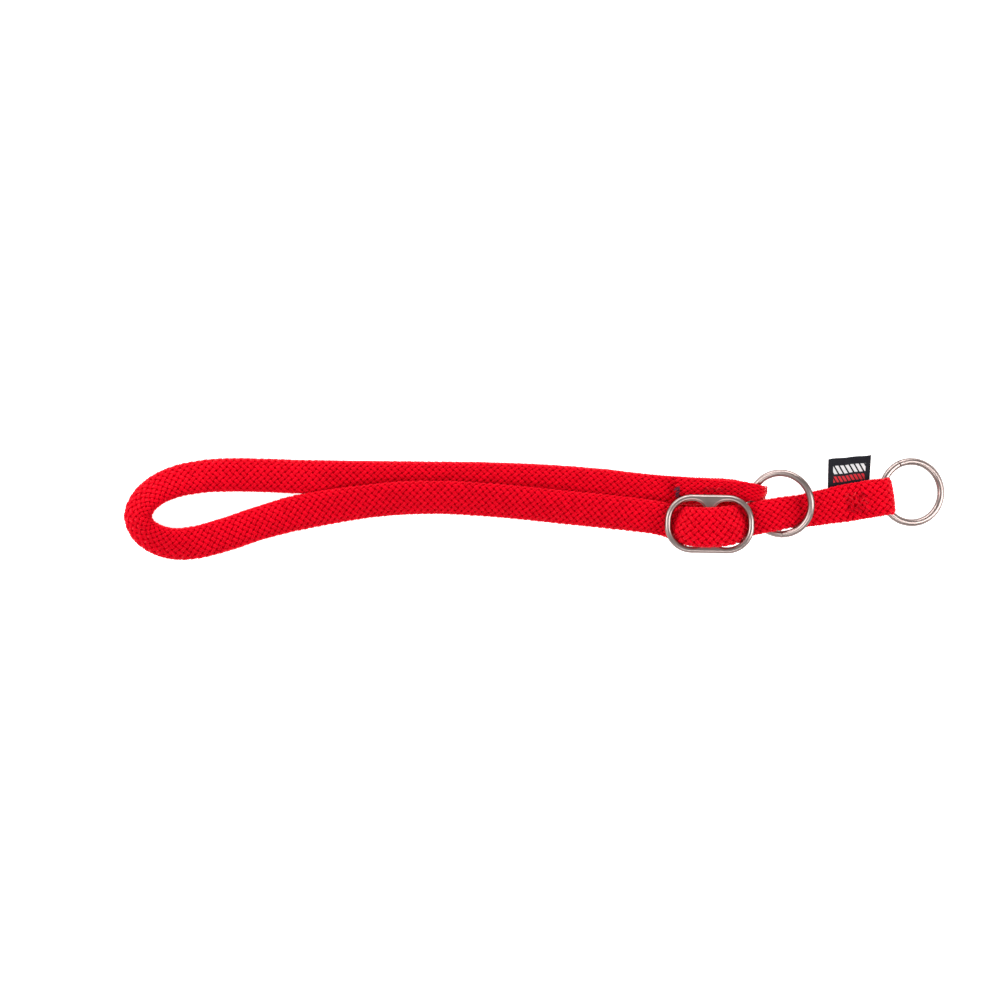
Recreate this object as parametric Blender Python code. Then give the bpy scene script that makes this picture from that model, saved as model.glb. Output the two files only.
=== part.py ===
"""Slip collar of one flat braided strap, with a leash ring, a slip ring and a slide stop.

Metres, +Z up. The collar lies on a flat surface with its leash ring towards +X. The origin is
under the middle of its bounding box. Lengths in the tables below are millimetres, angles degrees.
"""

import math

import bmesh
import bpy
import numpy as np
from mathutils import Matrix, Vector

MM = 0.001
GAP = 0.3  # clearance between pieces that touch

# Strap: a hollow tubular braid, 13 mm round before it is flattened
RELAXED = (15.5, 7.0)  # width and thickness where it lies free
SECTION_POWER = 2.6  # squareness of the flattened section
SECTION_POINTS = 20
STRAP_STEP = 7.0  # spacing of the sections where the strap runs free
FINE_STEP = 2.4  # and where it folds or humps

# Rings: butt-joined round wire
RING_WIRE = 1.6
RING_RADIUS = 14.1
RING_SEAM = 0.25  # gap left at the butt joint
LEASH_RING_SEAM_AT = 107.0  # degrees round the ring, from its far side
SLIP_RING_SEAM_AT = 272.0
RING_STEPS = 56
WIRE_POINTS = 12

# Leash end: the strap folds round the leash ring and is sewn back under itself
LEASH_HEADING = 8.0
LEASH_AXIS = (159.6, 5.4, 6.45)  # where the ring's wire crosses the fold
LEASH_AXIS_INSET = 0.9  # from the wire's centre towards the ring's centre
LEASH_RING_SHIFT = 0.3  # of the ring along the fold, off the strap's middle
LEASH_RING_DROOP = 9.9
LEASH_EYE = 4.5  # radius of the strap's middle round the wire
LEASH_WIDTH = 16.3
LEASH_LAYER = 3.7  # thickness of each pressed layer
EYE_LAYER = 3.1
LEASH_LOW = 2.95  # height of the middle of the lower layer
LABEL_ROOM = 1.4
LEASH_HIGH = LEASH_LOW + LEASH_LAYER + LABEL_ROOM

# Slip end: the far strand folds round the slip ring and is sewn back over itself
SLIP_HEADING = -14.0
SLIP_AXIS = (101.1, 7.6, 6.6)
SLIP_EYE = 3.85
SLIP_WIDTH = 8.0
SLIP_LAYER = 3.6
SLIP_LOW = 2.85
SLIP_HIGH = SLIP_LOW + SLIP_LAYER + 0.4
SLIP_RING_CENTRE = (113.2, 2.5)
SLIP_RING_RISE = 20.0  # lift of the ring's right side
SLIP_RING_LEAN = 8.0  # lift of its upper side

# Slide stop: a flat frame with a bar across its middle
STOP_CENTRE = (80.4, -6.8, 12.6)
STOP_LENGTH = 40.8
STOP_WIDTH = 26.7
STOP_THICK = 3.0
STOP_RIM = 2.9
STOP_CORNER = 12.4
STOP_BAR = 3.8
STOP_INNER_CORNER = 5.5
STOP_TURN = -1.0
STOP_RISE = 4.2

# Woven label: a strip folded in half, its ends sewn between the layers
LABEL_WIDTH = 19.3
LABEL_LEAF = 0.25
LABEL_OUT = 11.7  # how far it stands out of the strap's edge
LABEL_IN = 5.0
LABEL_FROM_AXIS = 12.8  # from the leash ring's axis back to its middle

# Sewing thread
THREAD = 0.32
TACK_THREAD = 0.24
NEEDLE_HOLE = 0.75

RED = (0.72, 0.004, 0.02, 1.0)
THREAD_RED = (0.62, 0.008, 0.02, 1.0)
DARK = (0.02, 0.02, 0.03, 1.0)
BLACK = (0.012, 0.012, 0.014, 1.0)
STEEL = (0.46, 0.42, 0.39, 1.0)


def material(name, colour, roughness, metallic=0.0):
    made = bpy.data.materials.new(name)
    made.use_nodes = True
    shader = made.node_tree.nodes["Principled BSDF"]
    shader.inputs["Base Color"].default_value = colour
    shader.inputs["Roughness"].default_value = roughness
    shader.inputs["Metallic"].default_value = metallic
    made.diffuse_color = colour
    return made


def add_object(name, mesh, finish, smooth_angle=35.0):
    mesh.materials.append(finish)
    mesh.shade_smooth()
    mesh.set_sharp_from_angle(angle=math.radians(smooth_angle))
    made = bpy.data.objects.new(name, mesh)
    bpy.context.scene.collection.objects.link(made)
    return made


def mesh_from(name, verts, faces):
    """A closed mesh from points in millimetres, its faces pointing out."""
    mesh = bpy.data.meshes.new(name)
    mesh.from_pydata([tuple(MM * c for c in v) for v in verts], [], faces)
    bm = bmesh.new()
    bm.from_mesh(mesh)
    bmesh.ops.recalc_face_normals(bm, faces=bm.faces)
    bm.to_mesh(mesh)
    bm.free()
    return mesh


def skin(name, rings):
    """Joins rings of points, each with the same number, into a tube with closed ends."""
    count = len(rings[0])
    verts = [p for ring in rings for p in ring]
    faces = []
    for r in range(len(rings) - 1):
        a, b = r * count, (r + 1) * count
        faces += [(a + i, a + (i + 1) % count, b + (i + 1) % count, b + i) for i in range(count)]
    last = (len(rings) - 1) * count
    faces += [tuple(range(count)), tuple(range(last + count - 1, last - 1, -1))]
    return mesh_from(name, verts, faces)


def section(width, thick, wedge):
    """A flattened oval. wedge thickens its +side, or thins it if negative."""
    points = []
    for i in range(SECTION_POINTS):
        a = 2 * math.pi * (i + 0.5) / SECTION_POINTS
        c, s = math.cos(a), math.sin(a)
        across = math.copysign(abs(c) ** (2 / SECTION_POWER), c)
        up = math.copysign(abs(s) ** (2 / SECTION_POWER), s)
        points.append((across * width / 2, up * thick / 2 * (1 + wedge * across)))
    return points


def lying_height(width, thick, wedge, roll):
    """How high a rolled section's middle is when its lowest point is on the ground."""
    r = math.radians(roll)
    return -min(v * math.sin(r) + h * math.cos(r) for v, h in section(width, thick, wedge))


def stations(route):
    """Route rows (x, y, z, side, roll, width, thick, wedge) as rows with a side vector.

    z None lies on the ground, and a last column says so. side is the plan direction of the
    section's +side; None puts it to the right of the way the strap runs.
    """
    rows = []
    for i, (x, y, z, side, roll, width, thick, wedge) in enumerate(route):
        if side is None:
            before, after = route[max(i - 1, 0)], route[min(i + 1, len(route) - 1)]
            side = math.degrees(math.atan2(after[1] - before[1], after[0] - before[0])) - 90
        lies = z is None
        if lies:
            z = lying_height(width, thick, wedge, roll)
        a, r = math.radians(side), math.radians(roll)
        vector = (math.cos(a) * math.cos(r), math.sin(a) * math.cos(r), math.sin(r))
        rows.append((x, y, z, *vector, width, thick, wedge, lies))
    return np.array(rows)


def smooth_rows(rows, steps):
    """Rows read from a smooth curve through the given ones, and where the given ones are in it."""
    chord = np.linalg.norm(np.diff(rows[:, :3], axis=0), axis=1)
    slope = np.gradient(rows, np.concatenate([[0], np.cumsum(chord)]), axis=0)
    out, places = [], []
    for i, (length, step) in enumerate(zip(chord, steps)):
        places.append(len(out))
        parts = max(1, round(length / step))
        for k in range(parts):
            s = k / parts
            h = (
                (1 + 2 * s) * (1 - s) ** 2,
                s * (1 - s) ** 2 * length,
                s * s * (3 - 2 * s),
                s * s * (s - 1) * length,
            )
            out.append(h[0] * rows[i] + h[1] * slope[i] + h[2] * rows[i + 1] + h[3] * slope[i + 1])
    out = np.array([*out, rows[-1]])
    for row in out:
        if row[9] > 0.999:
            roll = math.degrees(math.asin(row[5] / np.linalg.norm(row[3:6])))
            row[2] = lying_height(*row[6:9], roll)
    return out, [*places, len(out) - 1]


def whole_strap():
    """Section rings of the whole strap by stretch: {name: rings}. Stretches part by a small gap."""
    parts = {
        "leash_end_strap": (leash_end_route(), FINE_STEP),
        "strap_over_bar": (over_bar_route(), FINE_STEP),
        "neck_strap": (neck_route(), STRAP_STEP),
        "slip_end_strap": (slip_end_route(), FINE_STEP),
    }
    route = [row for rows, _ in parts.values() for row in rows]
    steps = [step for rows, step in parts.values() for _ in rows][:-1]
    rows, places = smooth_rows(stations(route), steps)
    tangents = np.gradient(rows[:, :3], axis=0)
    rings, ways = [], []
    for row, tangent in zip(rows.tolist(), tangents.tolist()):
        middle, side = Vector(row[:3]), Vector(row[3:6])
        along = Vector(tangent).normalized()
        side = (side - side.dot(along) * along).normalized()
        up = side.cross(along)
        rings.append([middle + v * side + h * up for v, h in section(*row[6:9])])
        ways.append(along)
    made, first = {}, 0
    for name, (stretch, _) in parts.items():
        start = places[first]
        first += len(stretch)
        end = places[min(first, len(route) - 1)]
        own = [list(ring) for ring in rings[start : end + 1]]
        if start > 0:
            own[0] = [p + GAP / 2 * ways[start] for p in own[0]]
        if end < len(rings) - 1:
            own[-1] = [p - GAP / 2 * ways[end] for p in own[-1]]
        made[name] = own
    return made


def direction(heading):
    a = math.radians(heading)
    return Vector((math.cos(a), math.sin(a), 0))


def fold(axis, heading, eye, side, roll, width, thick):
    """Route rows round a ring's wire, from below it to above it."""
    rows = []
    for turn in (-90, -55, -20, 20, 55, 90):
        a = math.radians(turn)
        at = Vector(axis) + eye * math.cos(a) * direction(heading)
        rows.append((at.x, at.y, axis[2] + eye * math.sin(a), side, roll, width, thick, 0))
    return rows


def behind(axis, heading, back, z, side, width, thick, shift=0.0):
    """A route row behind a fold, shifted to the left of its heading."""
    at = Vector(axis) - back * direction(heading) + shift * direction(heading + 90)
    return (at.x, at.y, z, side, 0, width, thick, 0)


def leash_end_route():
    side = LEASH_HEADING + 90
    low = [
        behind(LEASH_AXIS, LEASH_HEADING, back, z, side, width, LEASH_LAYER)
        for back, z, width in ((29.5, LEASH_LOW, 16.0), (24, LEASH_LOW, 17.4),
                               (18, LEASH_LOW, 17.8), (11, LEASH_LOW, 17.8), (5.5, 2.5, 17.4))
    ]
    eye = fold(LEASH_AXIS, LEASH_HEADING, LEASH_EYE, side, 0, LEASH_WIDTH, EYE_LAYER)
    high = [
        behind(LEASH_AXIS, LEASH_HEADING, back, z, side, width, LEASH_LAYER)
        for back, z, width in ((5.5, 9.8, 17.4), (9, 8.3, 17.7), (13, LEASH_HIGH, 17.8),
                               (18, LEASH_HIGH, 17.8), (24, LEASH_HIGH, 17.4))
    ]
    run = [
        (128.5, 0.6, 8.4, None, 1, 16.6, 4.0, 0),
        (122.5, -0.6, 8.9, None, 3, 15.2, 4.0, 0),
        (117.0, -1.4, 10.1, None, 3, 14.8, 4.0, 0),
        (111.0, -2.4, 10.9, None, 3, 15.2, 4.0, 0),
        (106.5, -3.2, 10.7, None, 3, 15.2, 4.0, 0),
    ]
    return low + eye + high + run


def over_bar_route():
    return [
        (103.3, -3.9, 10.1, None, 3, 15.2, 4.0, 0),
        (100.0, -4.6, 9.7, None, 0, 15.2, 4.0, 0),
        (97.3, -5.2, 9.8, None, 0, 14.8, 4.0, 0),
        (95.3, -5.6, 11.1, None, 0, 14.6, 4.0, 0),
        (93.6, -6.0, 13.3, None, 0, 15.2, 4.1, 0),
        (90.8, -6.7, 15.2, None, 0, 16.6, 4.2, 0),
        (86.3, -7.5, 16.4, None, 0, 17.4, 4.2, 0),
        (80.6, -8.0, 16.85, None, 0, 17.8, 4.2, 0),
        (75.0, -7.8, 16.4, None, 0, 17.4, 4.2, 0),
        (70.8, -7.3, 15.0, None, 0, 16.6, 4.2, 0),
        (68.2, -6.9, 12.8, None, 0, 14.8, 4.2, 0),
        (66.9, -6.5, 10.1, None, 0, 13.6, 4.1, 0),
        (65.2, -6.1, 7.7, None, 0, 13.8, 4.3, 0),
        (62.0, -5.3, 6.3, None, 6, 15.4, 4.8, -0.1),
    ]


def neck_route():
    """The near strand, the bend at the far left and the far strand."""
    return [
        (58.4, -4.3, 5.9, None, 10, 15.6, 5.1, -0.2),
        (50.0, -3.0, 5.5, None, 13, 15.8, 5.3, -0.25),
        (39.4, -1.7, None, None, 18, 16.2, 5.4, -0.3),
        (12.0, 1.1, None, None, 22.7, 16.5, 5.3, -0.33),
        (-15.0, 3.8, None, None, 24, 16.5, 5.3, -0.33),
        (-43.0, 5.4, None, None, 24, 16.5, 5.3, -0.33),
        (-61.5, 5.0, None, None, 24, 16.5, 5.3, -0.33),
        (-80.0, 3.1, None, None, 22, 16.3, 5.4, -0.33),
        (-96.0, 0.4, None, None, 15.7, 16.0, 5.9, -0.22),
        (-110.0, -2.3, None, None, 7.2, 15.7, 6.6, -0.08),
        (-125.7, -6.5, None, None, 3, *RELAXED, 0),
        (-144.0, -12.5, None, None, 5, *RELAXED, 0),
        (-156.0, -15.5, None, None, 11, 15.3, 7.0, 0),
        (-165.0, -16.0, None, None, 19, 15.1, 7.0, 0),
        (-173.0, -13.9, None, None, 26, 14.9, 7.0, 0),
        (-179.0, -9.6, None, None, 30, 14.8, 7.0, 0),
        (-181.5, -3.3, None, None, 31, 14.8, 7.0, 0),
        (-179.0, 3.2, None, None, 30, 14.8, 7.0, 0),
        (-173.0, 8.6, None, None, 26, 14.9, 7.0, 0),
        (-165.0, 12.3, None, None, 19, 15.1, 7.0, 0),
        (-153.2, 14.8, None, None, 10, 15.3, 7.0, 0),
        (-138.0, 15.7, None, None, 0, *RELAXED, 0),
        (-128.0, 15.55, None, None, 0, *RELAXED, 0),
        (-117.0, 15.2, None, None, 0, *RELAXED, 0),
        (-106.0, 14.85, None, None, 0, *RELAXED, 0),
        (-88.0, 14.9, None, None, -5, 14.8, 5.8, -0.25),
        (-61.5, 14.7, None, None, -6.6, 14.6, 5.3, -0.33),
        (-15.6, 14.1, None, None, -6.6, 14.6, 5.3, -0.33),
        (15.0, 12.7, None, None, -6.6, 14.4, 5.3, -0.33),
        (34.0, 11.05, None, None, -5, 14.4, 5.6, -0.3),
    ]


def slip_end_route():
    side = SLIP_HEADING - 90
    low = [
        (46.3, 9.7, None, None, -4, 14.2, 5.4, -0.28),
        (54.0, 9.1, 2.75, None, -2, 13.8, 4.5, -0.15),
        (62.0, 8.5, SLIP_LOW, None, 0, 13.6, SLIP_LAYER, 0),
        (72.0, 7.6, SLIP_LOW, -91, 0, 14.4, SLIP_LAYER, 0),
        (84.0, 7.6, SLIP_LOW, -92, 0, 13.2, SLIP_LAYER, 0),
        (93.0, 8.7, SLIP_LOW, -96, -3, 9.6, SLIP_LAYER, 0),
    ]
    eye = fold(SLIP_AXIS, SLIP_HEADING, SLIP_EYE, side, -12, SLIP_WIDTH, EYE_LAYER)
    high = [
        (95.5, 8.0, 9.3, -99, -7, 9.0, 3.4, 0),
        (90.0, 7.9, 7.6, -96, -2, 10.2, SLIP_LAYER, 0),
        (84.0, 7.0, SLIP_HIGH, -92, 0, 13.2, SLIP_LAYER, 0),
        (75.0, 7.0, SLIP_HIGH, -91, 0, 14.4, SLIP_LAYER, 0),
        (64.8, 8.6, SLIP_HIGH, -93, 0, 12.9, SLIP_LAYER, 0),
    ]
    return low + eye + high


def ring_mesh(name, seam_at):
    """A wire ring in its own XY plane, open at its butt joint."""
    start = math.radians(seam_at) + RING_SEAM / RING_RADIUS / 2
    sweep = 2 * math.pi - RING_SEAM / RING_RADIUS
    rings = []
    for k in range(RING_STEPS + 1):
        a = start + sweep * k / RING_STEPS
        ring = []
        for i in range(WIRE_POINTS):
            b = 2 * math.pi * i / WIRE_POINTS
            reach = RING_RADIUS + RING_WIRE * math.cos(b)
            ring.append((reach * math.cos(a), reach * math.sin(a), RING_WIRE * math.sin(b)))
        rings.append(ring)
    return skin(name, rings)


def slip_ring_frame():
    """The slip ring's centre and its three directions, so that its wire runs through the fold."""
    out = Vector((math.cos(math.radians(SLIP_RING_RISE)), 0, math.sin(math.radians(SLIP_RING_RISE))))
    lean = math.radians(SLIP_RING_LEAN)
    up = Vector((0, math.cos(lean), math.sin(lean)))
    up = (up - up.dot(out) * out).normalized()
    across = (SLIP_AXIS[1] - SLIP_RING_CENTRE[1]) / (RING_RADIUS * up.y)
    round_to_fold = math.pi - math.asin(across)
    arm = RING_RADIUS * (math.cos(round_to_fold) * out + math.sin(round_to_fold) * up)
    centre = Vector((*SLIP_RING_CENTRE, SLIP_AXIS[2] - arm.z))
    return centre, out, up, out.cross(up)


def rounded_outline(left, right, half, corner_left, corner_right, per_corner=9):
    """A rectangle along X with rounded corners, anticlockwise."""
    corners = (
        (right, half, corner_right, 0),
        (left, half, corner_left, 90),
        (left, -half, corner_left, 180),
        (right, -half, corner_right, 270),
    )
    points = []
    for x, y, radius, start in corners:
        cx, cy = x - math.copysign(radius, x - (left + right) / 2), y - math.copysign(radius, y)
        for k in range(per_corner):
            a = math.radians(start + 90 * k / (per_corner - 1))
            points.append((cx + radius * math.cos(a), cy + radius * math.sin(a)))
    return points


def stop_mesh(name):
    """The frame in layers, each drawn in from the edge so that its corners are rounded."""
    half_l, half_w, half_t = STOP_LENGTH / 2, STOP_WIDTH / 2, STOP_THICK / 2
    inner_l, inner_w, bar = half_l - STOP_RIM, half_w - STOP_RIM, STOP_BAR / 2
    levels = [(math.sin(math.radians(a)), 1 - math.cos(math.radians(a))) for a in range(-70, 71, 28)]
    bm = bmesh.new()
    layers = []
    for height, drawn in levels:
        d = 1.25 * drawn
        z = half_t * height / levels[-1][0]
        outlines = (
            rounded_outline(d - half_l, half_l - d, half_w - d, STOP_CORNER - d, STOP_CORNER - d),
            rounded_outline(bar - d, inner_l + d, inner_w + d,
                            STOP_INNER_CORNER + d, STOP_CORNER - STOP_RIM + d),
            rounded_outline(-inner_l - d, d - bar, inner_w + d,
                            STOP_CORNER - STOP_RIM + d, STOP_INNER_CORNER + d),
        )
        layers.append([[bm.verts.new((x * MM, y * MM, z * MM)) for x, y in o] for o in outlines])
    for low, high in zip(layers, layers[1:]):
        for a, b in zip(low, high):
            for i in range(len(a)):
                j = (i + 1) % len(a)
                bm.faces.new((a[i], a[j], b[j], b[i]))
    for layer in (layers[0], layers[-1]):
        edges = [bm.edges.get((o[i], o[(i + 1) % len(o)])) for o in layer for i in range(len(o))]
        bmesh.ops.triangle_fill(bm, edges=edges, use_beauty=True)
    bmesh.ops.recalc_face_normals(bm, faces=bm.faces)
    mesh = bpy.data.meshes.new(name)
    bm.to_mesh(mesh)
    bm.free()
    return mesh


def label_mesh(name, edge):
    """A folded strip: two leaves that meet in a fold at its outer end, drawn in its own frame.

    X runs along the strap, Y out of its edge from the middle of the strap, Z up.
    """
    inner, outer = edge - LABEL_IN, edge + LABEL_OUT
    half_gap = GAP / 2
    bend = half_gap + LABEL_LEAF
    outside = [(inner, bend), (outer - bend, bend)]
    outside += [(outer - bend + bend * math.cos(a), bend * math.sin(a))
                for a in (math.pi / 4, 0, -math.pi / 4)]
    outside += [(outer - bend, -bend), (inner, -bend)]
    inside = [(inner, -half_gap), (outer - bend, -half_gap), (outer - bend + half_gap, 0),
              (outer - bend, half_gap), (inner, half_gap)]
    profile = outside + inside
    rings = [[(x, y, z) for y, z in profile] for x in (-LABEL_WIDTH / 2, LABEL_WIDTH / 2)]
    return skin(name, rings)


def running_stitch(points, low, high):
    """A thread's route through needle holes, by turns over and under the strap."""
    chamfer = 0.45
    route = []
    for i, (here, there) in enumerate(zip(points, points[1:])):
        z, inward = (high, -1) if i % 2 == 0 else (low, 1)
        a, b = Vector((*here, z)), Vector((*there, z))
        along = (b - a).normalized() * chamfer
        drop = Vector((0, 0, inward * chamfer))
        if i == 0:
            route.append(a + (low - high) * 0.5 * Vector((0, 0, 1)))
        route += [a + drop, a + along, b - along, b + drop]
    last = Vector((*points[-1], (low + high) / 2))
    return [*route, last]


def thread(name, route, radius, finish):
    curve = bpy.data.curves.new(name, "CURVE")
    curve.dimensions = "3D"
    curve.bevel_depth = radius * MM
    curve.bevel_resolution = 1
    curve.use_fill_caps = True
    line = curve.splines.new("POLY")
    line.points.add(len(route) - 1)
    for point, at in zip(line.points, route):
        point.co = (at.x * MM, at.y * MM, at.z * MM, 1)
    curve.materials.append(finish)
    made = bpy.data.objects.new(name, curve)
    bpy.context.scene.collection.objects.link(made)
    return made


def needle_holes(name, points, targets):
    """Cuts the needle holes of a row of stitches through each target."""
    bm = bmesh.new()
    for x, y in points:
        bmesh.ops.create_cone(
            bm, cap_ends=True, segments=8, radius1=NEEDLE_HOLE * MM, radius2=NEEDLE_HOLE * MM,
            depth=40 * MM, matrix=Matrix.Translation((x * MM, y * MM, 5 * MM)))
    mesh = bpy.data.meshes.new(name)
    bm.to_mesh(mesh)
    bm.free()
    cutter = bpy.data.objects.new(name, mesh)
    cutter.hide_render = True
    cutter.display_type = "WIRE"
    bpy.context.scene.collection.objects.link(cutter)
    for target in targets:
        cut = target.modifiers.new(name, "BOOLEAN")
        cut.operation = "DIFFERENCE"
        cut.solver = "EXACT"
        cut.object = cutter


def leash_stitch_points():
    """A zigzag across the doubled end, between the label and the fold."""
    points = []
    for i in range(10):
        back, across = 19.6 - 1.0 * i, 4.6 if i % 2 else -4.2
        at = Vector(LEASH_AXIS) - back * direction(LEASH_HEADING)
        at += across * direction(LEASH_HEADING + 90)
        points.append((at.x, at.y))
    return points


def slip_stitch_points():
    return [(72.5 + 2.0 * i, 11.4 if i % 2 else 8.8) for i in range(8)]


def tack_points():
    return [(66.6, 5.6), (66.6, 11.4)]


def tack_route(low, high):
    """A dense zigzag over the strap between two needle holes, with a straight run below."""
    (x, bottom), (_, top) = tack_points()
    route = [Vector((x, (bottom + top) / 2, low)), Vector((x, bottom, low + 0.2))]
    route.append(Vector((x, bottom, high - 0.2)))
    turns = 8
    for i in range(turns):
        y = bottom + (top - bottom) * (i + 0.5) / turns
        route.append(Vector((x + (0.75 if i % 2 else -0.75), y, high)))
    route += [Vector((x, top, high - 0.2)), Vector((x, top, low + 0.2))]
    route.append(Vector((x, (bottom + top) / 2 + 0.8, low)))
    return route


def build():
    for old in list(bpy.data.objects):
        bpy.data.objects.remove(old, do_unlink=True)
    red = {n: material(n, RED, 0.55) for n in ("neck_strap", "strap_over_bar",
                                               "leash_end_strap", "slip_end_strap")}
    steel = {n: material(n, STEEL, 0.32, 1.0) for n in ("leash_ring", "slip_ring", "stop_slider")}
    sewn = {n: material(n, THREAD_RED, 0.5) for n in ("leash_end_stitching", "slip_end_stitching")}
    made = {}

    for name, rings in whole_strap().items():
        made[name] = add_object(name, skin(name, rings), red[name])

    leash = add_object("leash_ring", ring_mesh("leash_ring", LEASH_RING_SEAM_AT),
                       steel["leash_ring"])
    offset = Matrix.Translation(
        ((RING_RADIUS - LEASH_AXIS_INSET) * MM, LEASH_RING_SHIFT * MM, 0))
    leash.data.transform(offset)
    leash.matrix_world = (
        Matrix.Translation(Vector(LEASH_AXIS) * MM)
        @ Matrix.Rotation(math.radians(LEASH_HEADING), 4, "Z")
        @ Matrix.Rotation(math.radians(LEASH_RING_DROOP), 4, "Y")
    )
    made["leash_ring"] = leash

    slip = add_object("slip_ring", ring_mesh("slip_ring", SLIP_RING_SEAM_AT), steel["slip_ring"])
    centre, out, up, normal = slip_ring_frame()
    turned = Matrix((out, up, normal)).transposed().to_4x4()
    axis = Vector(SLIP_AXIS)
    slip.data.transform(turned)
    slip.data.transform(Matrix.Translation((centre - axis) * MM))
    slip.location = axis * MM
    made["slip_ring"] = slip

    stop = add_object("stop_slider", stop_mesh("stop_slider"), steel["stop_slider"])
    stop.location = Vector(STOP_CENTRE) * MM
    stop.rotation_euler = (0, math.radians(-STOP_RISE), math.radians(STOP_TURN))
    made["stop_slider"] = stop

    middle = Vector(LEASH_AXIS) - LABEL_FROM_AXIS * direction(LEASH_HEADING)
    label = add_object("woven_label", label_mesh("woven_label", LEASH_WIDTH / 2),
                       material("woven_label", BLACK, 0.7))
    between = LEASH_LOW + (LEASH_LAYER + LABEL_ROOM) / 2
    label.location = Vector((middle.x, middle.y, between)) * MM
    label.rotation_euler = (0, 0, math.radians(LEASH_HEADING))
    made["woven_label"] = label

    low = LEASH_LOW - LEASH_LAYER / 2 - GAP - THREAD
    high = LEASH_HIGH + LEASH_LAYER / 2 + GAP + THREAD
    points = leash_stitch_points()
    made["leash_end_stitching"] = thread(
        "leash_end_stitching", running_stitch(points, low, high), THREAD,
        sewn["leash_end_stitching"])
    needle_holes("leash_needle_holes", points, [made["leash_end_strap"], made["woven_label"]])

    low = SLIP_LOW - SLIP_LAYER / 2 - GAP - THREAD
    high = SLIP_HIGH + SLIP_LAYER / 2 + GAP + THREAD
    points = slip_stitch_points()
    made["slip_end_stitching"] = thread(
        "slip_end_stitching", running_stitch(points, low, high), THREAD,
        sewn["slip_end_stitching"])
    made["slip_end_bartack"] = thread(
        "slip_end_bartack", tack_route(low, high), TACK_THREAD,
        material("slip_end_bartack", DARK, 0.6))
    needle_holes("slip_needle_holes", points + tack_points(), [made["slip_end_strap"]])
    return made


def centre_on_box(made):
    """Moves everything so that the origin is under the middle of the whole object's box."""
    bpy.context.view_layer.update()
    graph = bpy.context.evaluated_depsgraph_get()
    corners = []
    for piece in made.values():
        shown = piece.evaluated_get(graph)
        mesh = shown.to_mesh()
        corners += [shown.matrix_world @ v.co for v in mesh.vertices]
        shown.to_mesh_clear()
    low = Vector([min(c[k] for c in corners) for k in range(3)])
    high = Vector([max(c[k] for c in corners) for k in range(3)])
    shift = Vector((-(low.x + high.x) / 2, -(low.y + high.y) / 2, -low.z))
    for piece in bpy.context.scene.objects:
        piece.location += shift
    print("shift mm", [round(s / MM, 3) for s in shift], "size mm",
          [round(s / MM, 2) for s in (high - low)])


centre_on_box(build())
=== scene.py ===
"""The looks of the slip collar: its braid, sewing, label and metal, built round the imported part.

Tables of the strap's route are in millimetres and degrees, in the frame the part was drawn in.
Everything else is in metres. +X runs towards the leash ring, +Y towards the label, +Z up.
"""

import math

import bmesh
import bpy
import numpy as np
from mathutils import Matrix, Vector


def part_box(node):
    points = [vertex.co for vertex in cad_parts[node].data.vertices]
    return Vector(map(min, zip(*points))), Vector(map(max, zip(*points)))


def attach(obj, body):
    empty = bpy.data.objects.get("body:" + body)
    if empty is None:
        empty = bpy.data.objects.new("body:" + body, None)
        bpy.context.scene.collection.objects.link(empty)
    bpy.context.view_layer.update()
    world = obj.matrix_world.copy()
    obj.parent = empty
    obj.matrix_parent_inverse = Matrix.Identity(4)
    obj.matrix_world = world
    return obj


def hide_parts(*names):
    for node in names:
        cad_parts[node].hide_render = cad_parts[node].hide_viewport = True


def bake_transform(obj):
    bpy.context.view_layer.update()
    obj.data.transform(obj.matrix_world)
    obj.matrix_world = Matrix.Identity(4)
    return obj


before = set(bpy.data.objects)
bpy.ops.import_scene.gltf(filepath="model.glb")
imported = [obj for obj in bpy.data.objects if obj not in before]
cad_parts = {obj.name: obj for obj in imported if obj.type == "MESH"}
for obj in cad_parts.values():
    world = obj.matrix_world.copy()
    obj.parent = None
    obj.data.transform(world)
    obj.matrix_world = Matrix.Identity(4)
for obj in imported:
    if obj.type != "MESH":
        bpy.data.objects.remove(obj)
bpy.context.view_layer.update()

MM = 0.001

# The part's own driving dimensions
SECTION_POWER = 2.6
RING_WIRE = 1.6
RING_RADIUS = 14.1
LEASH_HEADING = 8.0
LEASH_AXIS = (159.6, 5.4, 6.45)
LEASH_AXIS_INSET = 0.9
LEASH_RING_SHIFT = 0.3
LEASH_RING_DROOP = 9.9
LEASH_RING_SEAM_AT = 107.0
LEASH_EYE = 4.5
LEASH_LAYER = 3.7
LEASH_LOW = 2.95
LABEL_ROOM = 1.4
LEASH_HIGH = LEASH_LOW + LEASH_LAYER + LABEL_ROOM
SLIP_HEADING = -14.0
SLIP_AXIS = (101.1, 7.6, 6.6)
SLIP_EYE = 3.85
SLIP_WIDTH = 8.0
SLIP_LAYER = 3.6
SLIP_LOW = 2.85
SLIP_HIGH = SLIP_LOW + SLIP_LAYER + 0.4
SLIP_RING_CENTRE = (113.2, 2.5)
SLIP_RING_RISE = 20.0
SLIP_RING_LEAN = 8.0
SLIP_RING_SEAM_AT = 272.0
STOP_CENTRE = (80.4, -6.8, 12.6)
STOP_LENGTH = 40.8
STOP_WIDTH = 26.7
STOP_THICK = 3.0
STOP_RIM = 2.9
STOP_CORNER = 12.4
STOP_BAR = 3.8
STOP_INNER_CORNER = 5.5
STOP_TURN = -1.0
STOP_RISE = 4.2
LABEL_WIDTH = 19.3
LABEL_OUT = 11.7
LABEL_FROM_AXIS = 12.8
RELAXED = (15.5, 7.0)

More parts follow.
